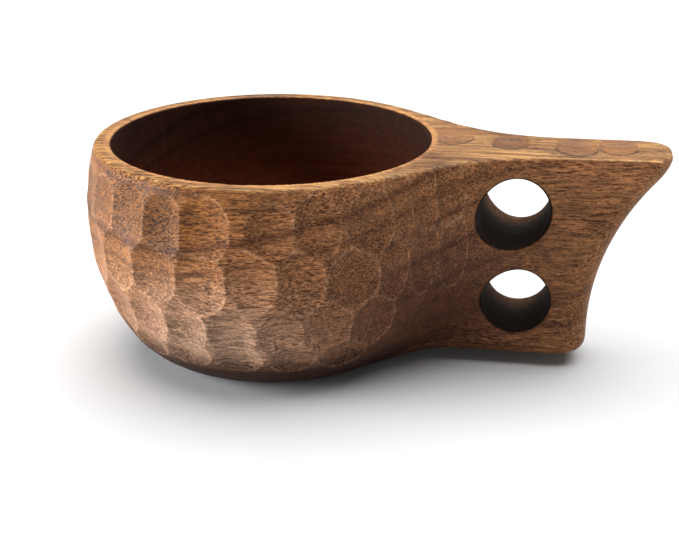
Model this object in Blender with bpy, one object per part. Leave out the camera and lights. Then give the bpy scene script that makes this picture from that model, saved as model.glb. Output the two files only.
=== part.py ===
"""Kuksa: a drinking cup carved from one piece of wood.

A round bowl runs without a joint into a flat, upright handle with two finger
holes. Metres, +Z up. The origin is the middle of the flat base, on the bowl's
axis, and the handle points along +X.
"""
import math

import bmesh
import bpy
import numpy as np
from mathutils import Matrix, Vector

# Overall sizes
LENGTH = 0.1721             # back of the bowl to the tip of the handle
HEIGHT = 0.0648             # base to the flat rim and handle top
OPENING_RADIUS = 0.0475     # mouth of the bowl

# Bowl, outside: a flat base, a quarter ellipse up to the bulge, then a slight tuck-in
BASE_RADIUS = 0.0304
BULGE_RADIUS = 0.0549
BULGE_HEIGHT = 0.0448
RIM_RADIUS = 0.0517

# Bowl, inside: a flat floor, a quarter ellipse, then straight walls
FLOOR_HEIGHT = 0.0080
FLOOR_RADIUS = 0.0220
WALL_HEIGHT = 0.0450        # where the inside wall becomes upright
LIP_ROUNDING = 0.0010

# Handle
HANDLE_HALF_WIDTH = 0.0114
HANDLE_UNDERSIDE = 0.0032   # clear of the surface that the cup stands on
HEEL_X = 0.0954             # lower corner of the end
HEEL_HEIGHT = 0.0103        # the end's concave sweep starts here
SWEEP_X = 0.1204            # where the sweep would meet the top if the tip weren't blunt
HANDLE_START = 0.0100       # the handle's own solid starts inside the bowl

# How softly the surfaces run into each other
NECK_BLEND_TOP = 0.0347     # bowl into handle, seen from above
NECK_BLEND_BOTTOM = 0.0150  # the same along the underside
NECK_BLEND_FROM = 0.0040    # heights between which the one becomes the other
NECK_BLEND_TO = 0.0340
END_BLEND = 0.0090          # handle sides into its end
TIP_BLEND = 0.0040          # sweep into the blunt tip
UNDERSIDE_BLEND = 0.0050
TOP_BLEND = 0.0015

# Finger holes, through the handle from side to side
HOLES = {                   # centre X, centre Z, radius
    "upper": (0.0729, 0.0483, 0.0102),
    "lower": (0.0742, 0.0211, 0.0098),
}
CUTTER_LENGTH = 0.0500
HOLE_SEGMENTS = 32

# Mesh density
HALF_RING_STEPS = 40
RING_CROWDING = 2.2         # over 1 crowds the ring's points onto the handle
FOOT_RINGS = 5
FOOT_CROWDING = 2           # over 1 crowds the lowest rings onto the base
SIDE_RINGS = 14
TOP_EDGE_RING = 0.0005      # depth of the one ring between the sides and the flat top
CAVITY_RINGS = 8
FAR = 0.200                 # a distance outside the cup everywhere
SEARCH_STEPS = 40
ON_SURFACE = 1e-7
SMOOTH_ANGLE = math.radians(35)

WOOD_COLOUR = (0.205, 0.098, 0.047, 1.0)
WOOD_ROUGHNESS = 0.45


def clear_scene():
    for item in list(bpy.data.objects):
        bpy.data.objects.remove(item, do_unlink=True)


def soft_min(a, b, width):
    """The smaller of two distances, rounded where they differ by less than width."""
    overlap = np.maximum(width - np.abs(a - b), 0.0) / width
    return np.minimum(a, b) - overlap * overlap * width / 4


def soft_max(a, b, width):
    return -soft_min(-a, -b, width)


def bowl_radius(z):
    """Outer radius of the bowl at a height."""
    below = 1 - min(z, BULGE_HEIGHT) / BULGE_HEIGHT
    above = (max(z, BULGE_HEIGHT) - BULGE_HEIGHT) / (HEIGHT - BULGE_HEIGHT)
    swell = (BULGE_RADIUS - BASE_RADIUS) * math.sqrt(1 - below * below)
    return BASE_RADIUS + swell - (BULGE_RADIUS - RIM_RADIUS) * above * above


def cavity_radius(z):
    """Radius of the hollow at a height."""
    below = 1 - min(max((z - FLOOR_HEIGHT) / (WALL_HEIGHT - FLOOR_HEIGHT), 0.0), 1.0)
    return FLOOR_RADIUS + (OPENING_RADIUS - FLOOR_RADIUS) * math.sqrt(1 - below * below)


def handle_end(z):
    """X of the handle's end at a height: upright at the heel, a concave arc, then the blunt tip."""
    run = SWEEP_X - HEEL_X
    rise = HEIGHT - HEEL_HEIGHT
    arc_radius = (run * run + rise * rise) / (2 * run)
    up = max(z - HEEL_HEIGHT, 0.0)
    sweep = HEEL_X + arc_radius - math.sqrt(arc_radius * arc_radius - up * up)
    return soft_min(sweep, LENGTH - BULGE_RADIUS, TIP_BLEND)


def neck_blend(z):
    t = min(max((z - NECK_BLEND_FROM) / (NECK_BLEND_TO - NECK_BLEND_FROM), 0.0), 1.0)
    return NECK_BLEND_BOTTOM + (NECK_BLEND_TOP - NECK_BLEND_BOTTOM) * t * t * (3 - 2 * t)


def outside(x, y, z):
    """Roughly the distance from the cup's outer surface at one height, negative inside."""
    bowl = np.hypot(x, y) - bowl_radius(z)
    handle = soft_max(np.abs(y) - HANDLE_HALF_WIDTH, x - handle_end(z), END_BLEND)
    handle = soft_max(handle, HANDLE_UNDERSIDE - z, UNDERSIDE_BLEND)
    handle = np.maximum(handle, HANDLE_START - x)
    body = soft_min(bowl, handle, neck_blend(z))
    return soft_max(body, z - HEIGHT, TOP_BLEND)


def ring_angles():
    """Angles round the cup from the handle, crowded where the handle is."""
    steps = np.arange(HALF_RING_STEPS + 1) / HALF_RING_STEPS
    half_turn = math.pi * steps ** RING_CROWDING
    return np.concatenate([half_turn, -half_turn[-2:0:-1]])


def outer_ring(z):
    """The cup's outline at a height, found along rays from the bowl's axis."""
    angles = ring_angles()
    near = np.zeros_like(angles)
    far = np.full_like(angles, FAR)
    for _ in range(SEARCH_STEPS):
        middle = (near + far) / 2
        inside = outside(middle * np.cos(angles), middle * np.sin(angles), z) < ON_SURFACE
        near = np.where(inside, middle, near)
        far = np.where(inside, far, middle)
    return [Vector((r * math.cos(a), r * math.sin(a), z)) for r, a in zip(near, angles)]


def round_ring(radius, z):
    return [Vector((radius * math.cos(a), radius * math.sin(a), z)) for a in ring_angles()]


def loft(name, rings):
    """A closed solid through rings of points, with its first and last ring capped."""
    shape = bmesh.new()
    rows = [[shape.verts.new(point) for point in ring] for ring in rings]
    for lower, upper in zip(rows, rows[1:]):
        for i in range(len(lower)):
            j = (i + 1) % len(lower)
            shape.faces.new((lower[i], lower[j], upper[j], upper[i]))
    shape.faces.new(reversed(rows[0]))
    shape.faces.new(rows[-1])
    bmesh.ops.recalc_face_normals(shape, faces=shape.faces)
    mesh = bpy.data.meshes.new(name)
    shape.to_mesh(mesh)
    shape.free()
    solid = bpy.data.objects.new(name, mesh)
    bpy.context.scene.collection.objects.link(solid)
    return solid


def outer_heights():
    """Base to rim, closer together where the surface turns."""
    foot = list(np.linspace(0.0, 1.0, FOOT_RINGS) ** FOOT_CROWDING * NECK_BLEND_FROM)
    side = list(np.linspace(NECK_BLEND_FROM, HEIGHT - TOP_BLEND, SIDE_RINGS)[1:])
    return foot + side + [HEIGHT - TOP_EDGE_RING, HEIGHT]


def cavity_heights():
    """Wall to floor, closer together where the wall turns into the floor."""
    turns = np.linspace(math.pi / 2, 0.0, CAVITY_RINGS)
    return [WALL_HEIGHT - (WALL_HEIGHT - FLOOR_HEIGHT) * math.cos(turn) for turn in turns]


def make_cup():
    rings = [outer_ring(z) for z in outer_heights()]
    rings.append(round_ring(OPENING_RADIUS + LIP_ROUNDING, HEIGHT))
    rings.append(round_ring(OPENING_RADIUS, HEIGHT - LIP_ROUNDING))
    rings += [round_ring(cavity_radius(z), z) for z in cavity_heights()]
    return loft("cup_body", rings)


def make_hole_cutter(name, x, z, radius):
    """A round bar along Y, through both sides of the handle."""
    shape = bmesh.new()
    bmesh.ops.create_cone(
        shape,
        cap_ends=True,
        segments=HOLE_SEGMENTS,
        radius1=radius,
        radius2=radius,
        depth=CUTTER_LENGTH,
        matrix=Matrix.Rotation(math.pi / 2, 4, "X"),
    )
    mesh = bpy.data.meshes.new(name)
    shape.to_mesh(mesh)
    shape.free()
    cutter = bpy.data.objects.new(name, mesh)
    bpy.context.scene.collection.objects.link(cutter)
    cutter.location = (x, 0, z)
    cutter.hide_render = True
    cutter.display_type = "WIRE"
    return cutter


def cut(solid, cutter):
    hole = solid.modifiers.new(cutter.name, "BOOLEAN")
    hole.operation = "DIFFERENCE"
    hole.solver = "EXACT"
    hole.object = cutter


def make_wood():
    wood = bpy.data.materials.new("oiled_wood")
    wood.use_nodes = True
    shader = wood.node_tree.nodes["Principled BSDF"]
    shader.inputs["Base Color"].default_value = WOOD_COLOUR
    shader.inputs["Roughness"].default_value = WOOD_ROUGHNESS
    shader.inputs["Metallic"].default_value = 0.0
    wood.diffuse_color = WOOD_COLOUR
    return wood


def main():
    clear_scene()
    cup = make_cup()
    for name, (x, z, radius) in HOLES.items():
        cut(cup, make_hole_cutter("finger_hole_cutter_" + name, x, z, radius))
    cup.data.materials.append(make_wood())
    cup.data.shade_smooth()
    cup.data.set_sharp_from_angle(angle=SMOOTH_ANGLE)


main()
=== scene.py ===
"""Looks of the kuksa: one carved piece of oiled wood on a pale floor.

The cup's outer form repeats the design's formulas at a finer scale, then the gouge
cuts are carved into it. Metres, +Z up, origin in the middle of the base, +X towards
the tip of the handle.
"""

import math
from collections import namedtuple

import bpy
import numpy as np
from mathutils import Matrix, Vector


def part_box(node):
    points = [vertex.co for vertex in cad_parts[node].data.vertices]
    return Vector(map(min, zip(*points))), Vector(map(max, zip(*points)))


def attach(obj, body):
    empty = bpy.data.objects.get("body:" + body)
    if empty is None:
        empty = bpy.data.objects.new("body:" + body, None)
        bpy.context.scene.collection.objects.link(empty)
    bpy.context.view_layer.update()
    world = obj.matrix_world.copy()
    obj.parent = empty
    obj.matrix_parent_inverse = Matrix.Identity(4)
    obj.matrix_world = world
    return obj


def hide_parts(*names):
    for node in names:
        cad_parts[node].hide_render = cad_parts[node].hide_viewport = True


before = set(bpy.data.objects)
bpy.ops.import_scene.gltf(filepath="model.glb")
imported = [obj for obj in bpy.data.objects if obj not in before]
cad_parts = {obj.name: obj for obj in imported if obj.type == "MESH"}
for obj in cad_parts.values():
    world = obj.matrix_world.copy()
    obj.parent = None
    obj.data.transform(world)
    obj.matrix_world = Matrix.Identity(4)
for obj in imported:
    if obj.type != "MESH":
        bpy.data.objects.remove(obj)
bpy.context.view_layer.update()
CUP_LOW, CUP_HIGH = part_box("cup_body")

# Bowl, outside
HEIGHT = CUP_HIGH.z
PROUD = 0.00055             # what the cuts take off again, on average
BULGE_RADIUS = PROUD - CUP_LOW.x
BULGE_HEIGHT = 0.0448
BASE_RADIUS = 0.0304
RIM_RADIUS = 0.0517 + PROUD

# Bowl, inside
OPENING_RADIUS = 0.0475
FLOOR_HEIGHT = 0.0080
FLOOR_RADIUS = 0.0220
WALL_HEIGHT = 0.0450

# Handle
HANDLE_HALF_WIDTH = 0.0114
HANDLE_UNDERSIDE = 0.0032
HEEL_X = 0.0954
HEEL_HEIGHT = 0.0103
HANDLE_START = 0.0100
SWEEP_X = 0.1204
TIP_X = CUP_HIGH.x
HOLES = (                   # centre X and Z on the front, radius, rise per metre towards the back
    (0.0729, 0.0483, 0.0102, 0.035),
    (0.0742, 0.0211, 0.0098, 0.075),
)

# How softly surfaces run into each other
NECK_BLEND_TOP = 0.0347
NECK_BLEND_BOTTOM = 0.0150
NECK_BLEND_FROM = 0.0040
NECK_BLEND_TO = 0.0340
END_BLEND = 0.0090
TIP_BLEND = 0.0040
UNDERSIDE_BLEND = 0.0050
TOP_BLEND = 0.0012
LIP_BLEND = 0.0005
HOLE_BLEND = 0.0016

# Gouge cuts in rows round the bowl: height of the middle, half height, tone, and the angles in
# degrees of the cuts on the front, counted from the handle
CUT_ROWS = (
    (0.0535, 0.0092, -0.30, (-49, -66, -79, -99, -112, -126, -140)),
    (0.0385, 0.0100, 0.20, (-55, -71, -85, -100, -116, -132)),
    (0.0220, 0.0090, 0.20, (-47, -62, -77, -92, -107, -122, -137)),
    (0.0080, 0.0060, 0.00, (-55, -73, -91, -109, -127)),
)
CUT_DEPTH = 0.00135
RIDGE_LEAD = 0.18           # lead of one cut over the next, as a share of its depth
CUT_TONE_VARIETY = 0.4      # how far the tone of a cut strays from its row's
CUT_SIDE_SHADE = 0.75        # painted shade and light across each cut, as from a lamp on the left: how far it runs from dark on the left to light on the right
CUT_OVERLAP = 1.06
CUT_WANDER = 0.0008
CUT_VARIETY = 0.08
CUT_FACING = 0.3            # a cut only reaches surface that faces about the same way
CUT_REACH = 0.0050          # and lies about as deep

# Narrower, shallower cuts on both sides of the neck: height of the middle, angles
NECK_ROWS = (
    (0.0570, (40, 31, 21)),
    (0.0400, (42, 31, 20)),
)
NECK_CUT_REACH = 0.0560
NECK_CUT_SIZES = (0.0051, 0.0115, 0.00035)  # half width, half height, depth

# Shallow dishes on top of the handle: X, Y, half length, half width
DISHES = (
    (0.0537, 0.0090, 0.0062, 0.0095),
    (0.0706, 0.0045, 0.0056, 0.0080),
    (0.0898, 0.0020, 0.0064, 0.0095),
    (0.1016, 0.0035, 0.0058, 0.0085),
)
DISH_DEPTH = 0.0009
DISH_STEEPNESS = 3          # over 1 gives a flatter floor and a steeper edge
DISH_RUN_OUT = 0.0100       # the dishes fade out before the handle's back edge

VOXEL = 0.00055             # edge of the faces before thinning
MOST_TRIANGLES = 190000
FIT_STEPS = 8               # steps that bring a point onto the surface
PROBE = 0.00001             # distance over which a slope is measured
MIN_STEEPNESS = 0.05        # keeps a step short where the surface has a crease
FAR = 1.0                   # a distance outside the cup everywhere
RANDOM_SEED = 7

# Wood colours, linear; the last two darken what is under them
BROWN = (0.222, 0.094, 0.036, 1)
PALE = (0.305, 0.182, 0.118, 1)
GOLDEN = (0.162, 0.055, 0.0065, 1)
HEART = (0.070, 0.023, 0.010, 1)
# painted shade low on the bowl, near the floor
FOOT_SHADE = (0.036, 0.013, 0.007, 1)
TOP = (0.330, 0.172, 0.055, 1)
TOP_LINE = (0.150, 0.055, 0.013, 1)
# painted highlight along the rounded lip of the opening
LIP_HIGHLIGHT = (0.360, 0.165, 0.052, 1)
# painted highlight along the ridges between cuts
RIDGE_HIGHLIGHT = (0.360, 0.220, 0.140, 1)
DISH = (0.195, 0.082, 0.025, 1)
# painted shade along the dishes' front edges
DISH_EDGE_SHADE = (0.030, 0.010, 0.004, 1)
HOLLOW = (0.026, 0.0060, 0.0014, 1)
DEEP = (0.100, 0.0195, 0.0050, 1)
BORE = (0.016, 0.008, 0.004, 1)
# painted light towards the back of the finger holes
BORE_BACK_LIT = (0.075, 0.032, 0.014, 1)
BAND = (0.42, 0.33, 0.30, 1)
PORE = (0.30, 0.20, 0.14, 1)

# The wood's own measures are in millimetres
MM_PER_METRE = 1000

# Where the plank changes colour: middle and half size of soft ellipsoids
PALE_AREA = ((-6, -30, 16), (52, 200, 32))
GOLDEN_AREA = ((-24, -30, 58), (50, 200, 25))
HEART_AREA = ((52, -20, 20), (49, 200, 55))
BANDED_AREA = ((56, -24, 44), (34, 60, 44))

# Where the colour changes with the place on the cup: nothing at the first value, full at the second
# the painted shade near the floor: by height, and by X away from the handle
FOOT_SHADE_HEIGHT = (17.0, 7.0)
FOOT_SHADE_ALONG = (54.0, 34.0)
# the painted highlight on the lip, beyond the opening's edge
LIP_HIGHLIGHT_WIDTH = (2.4, 1.2)
HOLLOW_EDGE = (0.35, 0.05)          # beyond the hollow's own wall
HOLLOW_FLOOR = (6.0, 7.0)
HOLLOW_DEPTH = (62.0, 30.0)
BORE_EDGE = (0.9, 0.4)              # beyond the hole's radius, so the holes' dark reaches onto their rounded edges as painted shade
# where the painted light in the holes fades in, by Y towards the back
BORE_DEPTH = (0.0, 12.0)
TOP_FACING = (0.45, 0.80)
TOP_BELOW = (-1.8, -1.0)            # from the full height
DISH_INSIDE = (1.02, 0.94)          # shares of a dish's own size, as are the next three
# the dishes' line of painted shade: its outer and inner edge, and how far to the front
DISH_LINE_OUTER = (1.14, 1.04)
DISH_LINE_INNER = (0.88, 0.98)
DISH_FRONT = (-0.1, -0.6)

# Growth layers: a pattern of rings, and a few dark ones through the neck by level and half width
GROWTH_NORMAL = (-0.157, -0.168, 1.0)
RINGS_PER_MM = 0.13
RING_DETAIL = 3.0
RING_ROUGHNESS = 0.6
DARK_RING = (0.50, 0.72)
NECK_RINGS = ((53.5, 2.2), (46.0, 1.4), (37.5, 2.2), (27.5, 2.6))
RING_STRENGTH = 0.75

# Noise patterns: features per millimetre along X, Y and Z, detail, roughness
WANDER = ((0.012, 0.03, 0.03), 2.0, 0.5)
STREAKS = ((0.03, 0.5, 0.5), 3.0, 0.6)
FIBRES = ((0.13, 1.9, 1.9), 1.0, 0.6)
SPECKLE = ((1.0, 2.5, 2.5), 1.0, 0.7)
PATCHES = ((0.035, 0.06, 0.06), 2.0, 0.5)
TOP_LINES = ((0.02, 0.9, 0.9), 2.0, 0.7)
PORE_CROWDS = ((0.02, 0.10, 0.10), 2.0, 0.5)
WANDER_REACH = (10, 7, 7)
NOISE_MIDDLE = 0.5                  # noise strays about as far either side of it
TOP_LINE_RANGE = (0.38, 0.62)

# Tone: a pattern's low and high value, and the factors that they give
STREAK_TONE = (0.25, 0.75, 0.76, 1.24)
FIBRE_TONE = (0.30, 0.70, 0.60, 1.40)
SPECKLE_TONE = (0.30, 0.70, 0.68, 1.32)
PATCH_TONE = (0.25, 0.75, 0.92, 1.08)
# the cuts' tone, with their painted shade and light
CUT_TONE_AND_SHADE = (-1.0, 1.0, 0.74, 1.22)
# painted highlight on the ridges, as a brightness factor
RIDGE_HIGHLIGHT_TONE = 0.25
RIDGE_HIGHLIGHT_SHARE = 0.26                  # how much of the painted highlight colour a ridge takes
CALM_HOLLOW = 0.8                   # how much of the fine grain is lost in the hollow
CALM_TOP = 0.4                      # and on the top

# Pores: short dark dashes along the grain
PORES_PER_MM = (0.27, 2.0, 2.0)
PORE_SIZE = (0.35, 0.65, 0.14, 0.36)    # by the crowding pattern, from and to
PORE_SIZE_GOLDEN = 0.14                 # and that much more in the golden area
PORE_EDGE = (0.06, -0.06)
PORE_FADE = (-52.0, -32.0, 0.35, 1.0)   # by X, from and to
PORE_STRENGTH = 0.9

# Surface
FIBRE_ROUGHNESS = (0.2, 0.8, 0.46, 0.60)
PORE_ROUGHNESS = 0.75
BORE_ROUGHNESS = 0.9
HOLLOW_ROUGHNESS = 0.85
FIBRE_RELIEF = 0.35
RELIEF_STRENGTH = 0.35
RELIEF_HEIGHT = 0.00012
SPECULAR = 0.15


# ---------------------------------------------------------------- form

def soft_min(a, b, width):
    """The smaller of two distances, rounded where they differ by less than width."""
    overlap = np.maximum(width - np.abs(a - b), 0.0) / width
    return np.minimum(a, b) - overlap * overlap * width / 4


def soft_max(a, b, width):
    return -soft_min(-a, -b, width)


def smooth_step(t):
    t = np.clip(t, 0.0, 1.0)
    return t * t * (3 - 2 * t)


def quarter_ellipse(z, low, high, r_low, r_high):
    below = 1 - np.clip((z - low) / (high - low), 0.0, 1.0)
    return r_low + (r_high - r_low) * np.sqrt(1 - below * below)


def bowl_radius(z):
    swell = quarter_ellipse(z, 0.0, BULGE_HEIGHT, BASE_RADIUS, BULGE_RADIUS)
    above = np.clip((z - BULGE_HEIGHT) / (HEIGHT - BULGE_HEIGHT), 0.0, 1.0)
    return swell - (BULGE_RADIUS - RIM_RADIUS) * above * above


def handle_end(z):
    run = SWEEP_X - HEEL_X
    rise = HEIGHT - HEEL_HEIGHT
    arc = (run * run + rise * rise) / (2 * run)
    up = np.clip(z - HEEL_HEIGHT, 0.0, rise)
    sweep = HEEL_X + arc - np.sqrt(arc * arc - up * up)
    return soft_min(sweep, TIP_X, TIP_BLEND)


def outer_form(x, y, z):
    """About the distance outside the cup, with the bowl still solid."""
    level = np.clip(z, 0.0, HEIGHT)
    bowl = np.hypot(x, y) - bowl_radius(level)
    handle = soft_max(np.abs(y) - HANDLE_HALF_WIDTH, x - handle_end(level), END_BLEND)
    handle = soft_max(handle, HANDLE_UNDERSIDE - z, UNDERSIDE_BLEND)
    handle = np.maximum(handle, HANDLE_START - x)
    share = smooth_step((level - NECK_BLEND_FROM) / (NECK_BLEND_TO - NECK_BLEND_FROM))
    blend = NECK_BLEND_BOTTOM + (NECK_BLEND_TOP - NECK_BLEND_BOTTOM) * share
    body = soft_min(bowl, handle, blend)
    return np.maximum(soft_max(body, z - HEIGHT, TOP_BLEND), -z)


def hole_distance(x, y, z):
    """Distance outside the nearer finger hole."""
    nearest = np.full_like(x, FAR)
    for hole_x, hole_z, radius, rise in HOLES:
        level = z - hole_z - rise * (y + HANDLE_HALF_WIDTH)
        nearest = np.minimum(nearest, np.hypot(x - hole_x, level) - radius)
    return nearest


def cup_form(points):
    x, y, z = points.T
    wall = quarter_ellipse(z, FLOOR_HEIGHT, WALL_HEIGHT, FLOOR_RADIUS, OPENING_RADIUS)
    hollow = np.minimum(wall - np.hypot(x, y), z - FLOOR_HEIGHT)
    form = soft_max(outer_form(x, y, z), hollow, LIP_BLEND)
    return soft_max(form, -hole_distance(x, y, z), HOLE_BLEND)


def slope(points):
    columns = []
    for axis in range(3):
        step = np.zeros(3)
        step[axis] = PROBE
        columns.append((cup_form(points + step) - cup_form(points - step)) / (2 * PROBE))
    return np.stack(columns, axis=1)


def settle(points):
    """Points moved onto the cup's surface, and the surface's outward directions there."""
    for _ in range(FIT_STEPS):
        outward = slope(points)
        steepness = np.maximum((outward * outward).sum(axis=1), MIN_STEEPNESS)
        points = points - outward * (cup_form(points) / steepness)[:, None]
    outward = slope(points)
    return points, outward / np.linalg.norm(outward, axis=1)[:, None]


# ---------------------------------------------------------------- gouge cuts

Cut = namedtuple("Cut", "middle half_width half_height depth tone")
random = np.random.default_rng(RANDOM_SEED)


def row_angles(front_angles):
    """The cuts on the front, then cuts evenly spaced on round the back to the handle."""
    angles = list(front_angles)
    pitch = (angles[0] - angles[-1]) / (len(angles) - 1)
    while angles[-1] - pitch > -360 - angles[0]:
        angles.append(angles[-1] - pitch)
    return angles, pitch


def bowl_cuts():
    """The scoops round the bowl, no two quite alike."""
    cuts = []
    for z, half_height, row_tone, front_angles in CUT_ROWS:
        angles, pitch = row_angles(front_angles)
        half_width = CUT_OVERLAP * math.radians(pitch) * bowl_radius(np.float64(z)) / 2
        for angle in angles:
            turn = math.radians(angle)
            height = z + random.uniform(-CUT_WANDER, CUT_WANDER)
            middle = (math.cos(turn) * BULGE_RADIUS, math.sin(turn) * BULGE_RADIUS, height)
            stretch = random.uniform(1 - CUT_VARIETY, 1 + CUT_VARIETY, 3)
            tone = row_tone + random.uniform(-CUT_TONE_VARIETY, CUT_TONE_VARIETY)
            sizes = (half_width * stretch[0], half_height * stretch[1], CUT_DEPTH * stretch[2])
            cuts.append(Cut(middle, *sizes, tone))
    return cuts


def neck_cuts():
    """Long shallow cuts on both sides of the neck."""
    cuts = []
    for side in (-1, 1):
        for z, angles in NECK_ROWS:
            for angle in angles:
                turn = math.radians(angle)
                middle = (math.cos(turn) * NECK_CUT_REACH, side * math.sin(turn) * NECK_CUT_REACH, z)
                tone = random.uniform(-CUT_TONE_VARIETY, CUT_TONE_VARIETY)
                cuts.append(Cut(middle, *NECK_CUT_SIZES, tone))
    return cuts


def carve(points, outward, cuts):
    """At each point, the depth and number of the deepest cut, its lead over the next one as a
    share of its full depth, and the place across it, from -1 on its left to 1 on its right.
    """
    middles, directions = settle(np.array([cut.middle for cut in cuts]))
    deepest = np.zeros(len(points))
    second = np.zeros(len(points))
    number = np.full(len(points), -1)
    across_cut = np.zeros(len(points))
    for i, cut in enumerate(cuts):
        normal = directions[i]
        across = np.cross((0.0, 0.0, 1.0), normal)
        across = across / np.linalg.norm(across)
        along = np.cross(normal, across)
        offset = points - middles[i]
        u = offset @ across / cut.half_width
        v = offset @ along / cut.half_height
        near = (outward @ normal > CUT_FACING) & (np.abs(offset @ normal) < CUT_REACH)
        scoop = np.where(near, cut.depth * (1 - u * u - v * v), 0.0)
        wins = scoop > deepest
        second = np.where(wins, deepest, np.maximum(second, scoop))
        number = np.where(wins, i, number)
        across_cut = np.where(wins, u, across_cut)
        deepest = np.where(wins, scoop, deepest)
    full_depths = np.array([cut.depth for cut in cuts])
    return deepest, number, (deepest - second) / full_depths[number], across_cut


def thumb_rests(points, outward):
    """Depth of the shallow dishes along the top of the handle."""
    deepest = np.zeros(len(points))
    for x, y, half_length, half_width in DISHES:
        u = (points[:, 0] - x) / half_length
        v = (points[:, 1] - y) / half_width
        deepest = np.maximum(deepest, 1 - (u * u + v * v) ** DISH_STEEPNESS)
    upward = (outward[:, 2] > CUT_FACING) & (points[:, 2] > HEIGHT - 2 * DISH_DEPTH)
    run_out = smooth_step((DISH_RUN_OUT - points[:, 1]) / (DISH_RUN_OUT / 2))
    return np.where(upward, DISH_DEPTH * deepest * run_out, 0.0)


# ---------------------------------------------------------------- mesh

def fine_mesh():
    """The CAD piece's shape as an even, closed mesh of small faces."""
    rough = bpy.data.objects.new("rough_cup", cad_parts["cup_body"].data.copy())
    bpy.context.scene.collection.objects.link(rough)
    voxels = rough.modifiers.new("voxels", "REMESH")
    voxels.mode = "VOXEL"
    voxels.voxel_size = VOXEL
    mesh = evaluated_mesh(rough)
    bpy.data.objects.remove(rough)
    return mesh


def evaluated_mesh(item):
    depsgraph = bpy.context.evaluated_depsgraph_get()
    return bpy.data.meshes.new_from_object(item.evaluated_get(depsgraph))


def read_points(mesh):
    flat = np.zeros(len(mesh.vertices) * 3)
    mesh.vertices.foreach_get("co", flat)
    return flat.reshape(-1, 3)


def write_points(mesh, points):
    mesh.vertices.foreach_set("co", points.astype(np.float32).ravel())
    mesh.update()


def read_normals(mesh):
    flat = np.zeros(len(mesh.vertices) * 3, np.float32)
    mesh.vertex_normals.foreach_get("vector", flat)
    return flat.reshape(-1, 3)


def add_values(mesh, name, values):
    attribute = mesh.attributes.new(name, "FLOAT", "POINT")
    attribute.data.foreach_set("value", values.astype(np.float32))


def carved_mesh(cuts):
    mesh = fine_mesh()
    points, outward = settle(read_points(mesh))
    depth = carve(points, outward, cuts)[0]
    depth = np.maximum(depth, thumb_rests(points, outward))
    points = points - outward * depth[:, None]
    points[:, 2] = np.clip(points[:, 2], 0.0, HEIGHT)
    write_points(mesh, points)
    return mesh


def thin(item):
    """Fewer faces, with the small ones left where the surface turns."""
    thinned = item.modifiers.new("thinned", "DECIMATE")
    thinned.ratio = MOST_TRIANGLES / (2 * len(item.data.polygons))
    item.data = evaluated_mesh(item)
    item.modifiers.clear()
    item.data.name = item.name
    item.data.shade_smooth()


def mark_cuts(mesh, cuts):
    """Stores for the wood which tone each point has, with painted shade and light across each cut, and
    how close to a ridge it is.
    """
    number, lead, across_cut = carve(read_points(mesh), read_normals(mesh), cuts)[1:]
    tones = np.array([cut.tone for cut in cuts] + [0.0])
    # each cut's own tone, plus painted shade on its left and painted light on its right
    add_values(mesh, "cut_tone_and_shade", tones[number] + CUT_SIDE_SHADE * across_cut)
    add_values(mesh, "ridge", (number >= 0) * smooth_step(1 - lead / RIDGE_LEAD))


def make_cup():
    cuts = bowl_cuts() + neck_cuts()
    cup = bpy.data.objects.new("cup", carved_mesh(cuts))
    bpy.context.scene.collection.objects.link(cup)
    thin(cup)
    mark_cuts(cup.data, cuts)
    return cup


# ---------------------------------------------------------------- wood

class Nodes:
    """Adds shader nodes to a node tree. Inputs are links or plain values, by socket name or number.

    A Mix node's colours are its inputs 6 and 7 and output 2, its plain values 2, 3 and output 0.
    """

    def __init__(self, tree):
        self.tree = tree

    def add(self, kind, inputs, **settings):
        made = self.tree.nodes.new("ShaderNode" + kind)
        for name, value in settings.items():
            setattr(made, name, value)
        for name, value in inputs.items():
            if isinstance(value, bpy.types.NodeSocket):
                self.tree.links.new(value, made.inputs[name])
            else:
                made.inputs[name].default_value = value
        return made

    def math(self, operation, *values):
        return self.add("Math", dict(enumerate(values)), operation=operation).outputs["Value"]

    def times(self, first, second):
        return self.math("MULTIPLY", first, second)

    def larger(self, first, second):
        return self.math("MAXIMUM", first, second)

    def scaled(self, vector, factors):
        return self.add("VectorMath", {0: vector, 1: factors}, operation="MULTIPLY").outputs["Vector"]

    def shifted(self, vector, offset):
        return self.add("VectorMath", {0: vector, 1: offset}, operation="ADD").outputs["Vector"]

    def length(self, vector):
        return self.add("VectorMath", {0: vector}, operation="LENGTH").outputs["Value"]

    def dot(self, vector, other):
        return self.add("VectorMath", {0: vector, 1: other}, operation="DOT_PRODUCT").outputs["Value"]

    def parts(self, vector):
        return self.add("SeparateXYZ", {"Vector": vector}).outputs

    def ramp(self, value, start, end, low=0.0, high=1.0, interpolation="SMOOTHSTEP"):
        """Low before start, high after end, smooth between; start may be above end."""
        inputs = {"Value": value, "From Min": start, "From Max": end, "To Min": low, "To Max": high}
        return self.add("MapRange", inputs, interpolation_type=interpolation).outputs["Result"]

    def noise(self, place, pattern):
        per_mm, detail, roughness = pattern
        inputs = {"Vector": self.scaled(place, per_mm), "Scale": 1.0}
        inputs.update({"Detail": detail, "Roughness": roughness})
        return self.add("TexNoise", inputs)

    def pattern(self, place, pattern):
        return self.noise(place, pattern).outputs["Fac"]

    def mix(self, factor, first, second, blend="MIX"):
        inputs = {0: factor, 6: first, 7: second}
        return self.add("Mix", inputs, data_type="RGBA", blend_type=blend).outputs[2]

    def mix_values(self, factor, first, second):
        return self.add("Mix", {0: factor, 2: first, 3: second}, data_type="FLOAT").outputs[0]

    def grey(self, value):
        return self.add("CombineColor", {0: value, 1: value, 2: value}).outputs["Color"]

    def attribute(self, name):
        return self.add("Attribute", {}, attribute_name=name).outputs["Fac"]

    def blob(self, place, middle, sizes):
        """1 in the middle of a soft ellipsoid, 0 outside it."""
        offset = self.shifted(place, tuple(-value for value in middle))
        return self.ramp(self.length(self.scaled(offset, tuple(1 / value for value in sizes))), 1.0, 0.0)


def mm(metres):
    return metres * MM_PER_METRE


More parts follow.
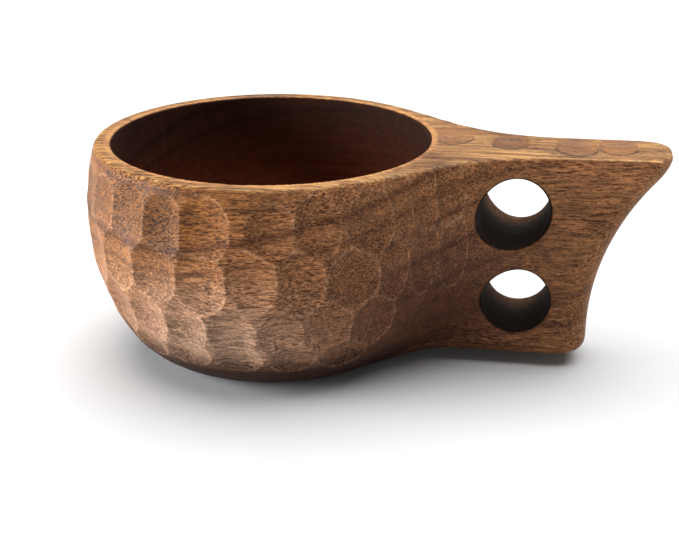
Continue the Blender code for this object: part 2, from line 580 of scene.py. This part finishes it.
def hollow_zone(nodes, place):
    """How much a point belongs to the hollow, by the hollow's own profile."""
    height = nodes.parts(place)["Z"]
    radius = nodes.length(nodes.scaled(place, (1, 1, 0)))
    below = nodes.ramp(height, mm(WALL_HEIGHT), mm(FLOOR_HEIGHT), interpolation="LINEAR")
    swell = nodes.math("SQRT", nodes.math("SUBTRACT", 1.0, nodes.times(below, below)))
    wall = nodes.math("MULTIPLY_ADD", swell, mm(OPENING_RADIUS - FLOOR_RADIUS), mm(FLOOR_RADIUS))
    inside = nodes.ramp(nodes.math("SUBTRACT", radius, wall), *HOLLOW_EDGE)
    return nodes.times(inside, nodes.ramp(height, *HOLLOW_FLOOR))


def bore_zone(nodes, place):
    """How much a point belongs to a finger hole or its rounded edge, which is darkened with painted
    shade.
    """
    x, y, z = nodes.parts(place)
    zone = 0.0
    for hole_x, hole_z, radius, rise in HOLES:
        across = nodes.math("SUBTRACT", x, mm(hole_x))
        axis = nodes.math("MULTIPLY_ADD", y, rise, mm(hole_z + rise * HANDLE_HALF_WIDTH))
        offset = nodes.add("CombineXYZ", {0: across, 1: nodes.math("SUBTRACT", z, axis)}).outputs[0]
        outer, inner = BORE_EDGE
        # the dark reaches onto the rounded edge as painted shade
        inside = nodes.ramp(nodes.length(offset), mm(radius) + outer, mm(radius) + inner)
        zone = nodes.larger(zone, inside)
    return zone


def top_zone(nodes, place):
    """How much a point belongs to the flat rim and the handle's top."""
    upward = nodes.parts(nodes.add("NewGeometry", {}).outputs["Normal"])["Z"]
    below = nodes.math("SUBTRACT", nodes.parts(place)["Z"], mm(HEIGHT))
    return nodes.times(nodes.ramp(upward, *TOP_FACING), nodes.ramp(below, *TOP_BELOW))


def dish_zones(nodes, place):
    """The dishes on the handle, and the dark line of painted shade along their front edges."""
    dish = 0.0
    edge_shade = 0.0
    for x, y, half_length, half_width in DISHES:
        offset = nodes.shifted(place, (-mm(x), -mm(y), 0))
        offset = nodes.scaled(offset, (1 / mm(half_length), 1 / mm(half_width), 0))
        reach = nodes.length(offset)
        dish = nodes.larger(dish, nodes.ramp(reach, *DISH_INSIDE))
        line = nodes.times(nodes.ramp(reach, *DISH_LINE_OUTER), nodes.ramp(reach, *DISH_LINE_INNER))
        front = nodes.ramp(nodes.dot(offset, (0, 1, 0)), *DISH_FRONT)
        edge_shade = nodes.larger(edge_shade, nodes.times(line, front))
    return dish, edge_shade


def grain_space(nodes, place):
    """The grain runs along X; a slow wander keeps it from being ruler-straight."""
    wander = nodes.shifted(nodes.noise(place, WANDER).outputs["Color"], (-NOISE_MIDDLE,) * 3)
    return nodes.shifted(place, nodes.scaled(wander, WANDER_REACH))


def growth_rings(nodes, place, grain):
    """How much a point belongs to a dark growth ring."""
    layer = nodes.dot(grain, GROWTH_NORMAL)
    inputs = {"W": nodes.times(layer, RINGS_PER_MM), "Scale": 1.0}
    inputs.update({"Detail": RING_DETAIL, "Roughness": RING_ROUGHNESS})
    pattern = nodes.add("TexNoise", inputs, noise_dimensions="1D").outputs["Fac"]
    rings = nodes.ramp(pattern, *DARK_RING)
    near_neck = nodes.blob(place, *BANDED_AREA)
    for level, half_width in NECK_RINGS:
        off = nodes.math("ABSOLUTE", nodes.math("SUBTRACT", layer, level))
        rings = nodes.larger(rings, nodes.times(nodes.ramp(off, half_width, 0.0), near_neck))
    return rings


def wood_pores(nodes, place, grain, golden, hollow):
    """How much a point belongs to a pore: fainter opposite the handle, none in the hollow."""
    inputs = {"Vector": nodes.scaled(grain, PORES_PER_MM), "Scale": 1.0, "Randomness": 1.0}
    distance = nodes.add("TexVoronoi", inputs).outputs["Distance"]
    size = nodes.ramp(nodes.pattern(grain, PORE_CROWDS), *PORE_SIZE)
    size = nodes.math("MULTIPLY_ADD", golden, PORE_SIZE_GOLDEN, size)
    pores = nodes.ramp(nodes.math("SUBTRACT", distance, size), *PORE_EDGE)
    pores = nodes.times(pores, nodes.ramp(hollow, 1.0, 0.0))
    return nodes.times(pores, nodes.ramp(nodes.parts(place)["X"], *PORE_FADE))


def top_colours(nodes, place, grain):
    """The rim and the handle's top: fine lines, the dishes and a painted highlight along the lip."""
    colour = nodes.mix(nodes.ramp(nodes.pattern(grain, TOP_LINES), *TOP_LINE_RANGE), TOP, TOP_LINE)
    dish, edge_shade = dish_zones(nodes, place)
    colour = nodes.mix(dish, colour, DISH)
    # painted shade along the dishes' front edges
    colour = nodes.mix(edge_shade, colour, DISH_EDGE_SHADE)
    radius = nodes.length(nodes.scaled(place, (1, 1, 0)))
    outer, inner = LIP_HIGHLIGHT_WIDTH
    # painted highlight where the rounded lip catches the light
    lip_highlight = nodes.ramp(radius, mm(OPENING_RADIUS) + outer, mm(OPENING_RADIUS) + inner)
    return nodes.mix(lip_highlight, colour, LIP_HIGHLIGHT)


def plank_colours(nodes, place, golden):
    """The broad colouring of the outside, with painted shade low down near the floor."""
    along, _, height = nodes.parts(place)
    colour = nodes.mix(nodes.blob(place, *PALE_AREA), BROWN, PALE)
    colour = nodes.mix(golden, colour, GOLDEN)
    colour = nodes.mix(nodes.blob(place, *HEART_AREA), colour, HEART)
    # painted shade low on the bowl, away from the handle, where the floor shadow falls
    foot_shade = nodes.times(nodes.ramp(height, *FOOT_SHADE_HEIGHT), nodes.ramp(along, *FOOT_SHADE_ALONG))
    return nodes.mix(foot_shade, colour, FOOT_SHADE)


def wood_tone(nodes, place, grain, fibres, ridge, hollow, top):
    """One brightness factor for the fine grain, the streaks, the cuts with their painted light and
    shade, and the painted highlight on their ridges.
    """
    speckle = nodes.pattern(grain, SPECKLE)
    fine = nodes.times(nodes.ramp(fibres, *FIBRE_TONE), nodes.ramp(speckle, *SPECKLE_TONE))
    calm = nodes.larger(nodes.times(hollow, CALM_HOLLOW), nodes.times(top, CALM_TOP))
    tone = nodes.mix_values(calm, fine, 1.0)
    tone = nodes.times(tone, nodes.ramp(nodes.pattern(grain, STREAKS), *STREAK_TONE))
    # the cuts' tone, with painted shade and light across each cut
    tone = nodes.times(tone, nodes.ramp(nodes.attribute("cut_tone_and_shade"), *CUT_TONE_AND_SHADE, "LINEAR"))
    # painted highlight: the ridges brighter
    tone = nodes.times(tone, nodes.math("MULTIPLY_ADD", ridge, RIDGE_HIGHLIGHT_TONE, 1.0))
    return nodes.times(tone, nodes.ramp(nodes.pattern(place, PATCHES), *PATCH_TONE))


def make_wood():
    wood = bpy.data.materials.new("oiled_wood")
    wood.use_nodes = True
    nodes = Nodes(wood.node_tree)
    shader = wood.node_tree.nodes["Principled BSDF"]
    place = nodes.scaled(nodes.add("TexCoord", {}).outputs["Object"], (MM_PER_METRE,) * 3)
    grain = grain_space(nodes, place)
    fibres = nodes.pattern(grain, FIBRES)
    hollow = hollow_zone(nodes, place)
    bore = bore_zone(nodes, place)
    top = top_zone(nodes, place)
    golden = nodes.blob(place, *GOLDEN_AREA)
    pores = wood_pores(nodes, place, grain, golden, hollow)
    ridge = nodes.attribute("ridge")
    _, back, height = nodes.parts(place)

    colour = plank_colours(nodes, place, golden)
    colour = nodes.mix(top, colour, top_colours(nodes, place, grain))
    colour = nodes.mix(hollow, colour, nodes.mix(nodes.ramp(height, *HOLLOW_DEPTH), HOLLOW, DEEP))
    # holes dark, with painted light towards their back
    colour = nodes.mix(bore, colour, nodes.mix(nodes.ramp(back, *BORE_DEPTH), BORE, BORE_BACK_LIT))
    # painted highlight along the ridges between cuts
    colour = nodes.mix(nodes.times(ridge, RIDGE_HIGHLIGHT_SHARE), colour, RIDGE_HIGHLIGHT)
    rings = nodes.times(growth_rings(nodes, place, grain), RING_STRENGTH)
    colour = nodes.mix(rings, colour, BAND, "MULTIPLY")
    tone = wood_tone(nodes, place, grain, fibres, ridge, hollow, top)
    colour = nodes.mix(1.0, colour, nodes.grey(tone), "MULTIPLY")
    colour = nodes.mix(nodes.times(pores, PORE_STRENGTH), colour, PORE, "MULTIPLY")
    wood.node_tree.links.new(colour, shader.inputs["Base Color"])

    roughness = nodes.ramp(fibres, *FIBRE_ROUGHNESS)
    for zone, value in ((pores, PORE_ROUGHNESS), (bore, BORE_ROUGHNESS), (hollow, HOLLOW_ROUGHNESS)):
        roughness = nodes.larger(roughness, nodes.times(zone, value))
    wood.node_tree.links.new(roughness, shader.inputs["Roughness"])

    relief = nodes.math("SUBTRACT", nodes.times(fibres, FIBRE_RELIEF), pores)
    inputs = {"Height": relief, "Strength": RELIEF_STRENGTH, "Distance": RELIEF_HEIGHT}
    wood.node_tree.links.new(nodes.add("Bump", inputs).outputs["Normal"], shader.inputs["Normal"])
    shader.inputs["Specular IOR Level"].default_value = SPECULAR
    return wood


# ---------------------------------------------------------------- studio

CAMERA_TARGET = Vector((0.0203, 0.0, 0.0242))
CAMERA_DISTANCE = 0.428
CAMERA_AZIMUTH = math.radians(9.0)
CAMERA_ELEVATION = math.radians(21.1)
CAMERA_ROLL = math.radians(-0.2)
CAMERA_LENS = 74.2
CAMERA_SENSOR = 36
CAMERA_NEAREST = 0.01
LIGHTS = (                  # name, azimuth and elevation in degrees, distance, size, watts, colour
    ("overhead", 160, 72, 4.0, 6.5, 525, (1, 1, 1)),
    ("side", -74, 8, 0.7, 0.5, 11.5, (0.97, 1.0, 1.03)),
)
WORLD_BRIGHT = 0.95         # at the horizon
WORLD_DIM = 0.15            # above and below it
WORLD_FADE = (0.12, 0.28)   # sine of the angle from the horizon
FLOOR_REACH = 4
FLOOR_COLOUR = (0.5, 0.5, 0.5, 1)
FLOOR_ROUGHNESS = 0.9


def towards(azimuth, elevation):
    """A direction from the cup: azimuth 0 is -Y, growing towards +X."""
    level = math.cos(elevation)
    return Vector((math.sin(azimuth) * level, -math.cos(azimuth) * level, math.sin(elevation)))


def make_camera():
    data = bpy.data.cameras.new("camera")
    data.sensor_width = CAMERA_SENSOR
    data.lens = CAMERA_LENS
    data.clip_start = CAMERA_NEAREST
    camera = bpy.data.objects.new("camera", data)
    bpy.context.scene.collection.objects.link(camera)
    back = towards(CAMERA_AZIMUTH, CAMERA_ELEVATION)
    place = Matrix.Translation(CAMERA_TARGET + back * CAMERA_DISTANCE)
    turn = (-back).to_track_quat("-Z", "Y").to_matrix().to_4x4()
    camera.matrix_world = place @ turn @ Matrix.Rotation(CAMERA_ROLL, 4, "Z")
    bpy.context.scene.camera = camera


def make_floor():
    mesh = bpy.data.meshes.new("floor")
    corners = [(x * FLOOR_REACH, y * FLOOR_REACH, 0) for x, y in ((-1, -1), (1, -1), (1, 1), (-1, 1))]
    mesh.from_pydata(corners, [], [(0, 1, 2, 3)])
    floor = bpy.data.objects.new("floor", mesh)
    bpy.context.scene.collection.objects.link(floor)
    pale = bpy.data.materials.new("pale_floor")
    pale.use_nodes = True
    shader = pale.node_tree.nodes["Principled BSDF"]
    shader.inputs["Base Color"].default_value = FLOOR_COLOUR
    shader.inputs["Roughness"].default_value = FLOOR_ROUGHNESS
    mesh.materials.append(pale)


def make_light(name, azimuth, elevation, distance, size, power, colour):
    data = bpy.data.lights.new(name, "AREA")
    data.shape = "DISK"
    data.size = size
    data.energy = power
    data.color = colour
    light = bpy.data.objects.new(name, data)
    bpy.context.scene.collection.objects.link(light)
    back = towards(math.radians(azimuth), math.radians(elevation))
    turn = (-back).to_track_quat("-Z", "Y").to_matrix().to_4x4()
    light.matrix_world = Matrix.Translation(CAMERA_TARGET + back * distance) @ turn


def make_world():
    """Soft white light all round, brightest near the horizon."""
    world = bpy.data.worlds.new("studio")
    world.use_nodes = True
    nodes = Nodes(world.node_tree)
    background = world.node_tree.nodes["Background"]
    direction = nodes.add("TexCoord", {}).outputs["Generated"]
    off_horizon = nodes.math("ABSOLUTE", nodes.parts(direction)["Z"])
    level = nodes.ramp(off_horizon, *WORLD_FADE, WORLD_BRIGHT, WORLD_DIM)
    world.node_tree.links.new(level, background.inputs["Strength"])
    background.inputs["Color"].default_value = (1, 1, 1, 1)
    bpy.context.scene.world = world
    bpy.context.scene.view_settings.view_transform = "Standard"


cup = make_cup()
cup.data.materials.clear()
cup.data.materials.append(make_wood())
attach(cup, "root")
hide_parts("cup_body")
make_floor()
for light_settings in LIGHTS:
    make_light(*light_settings)
make_world()
make_camera()
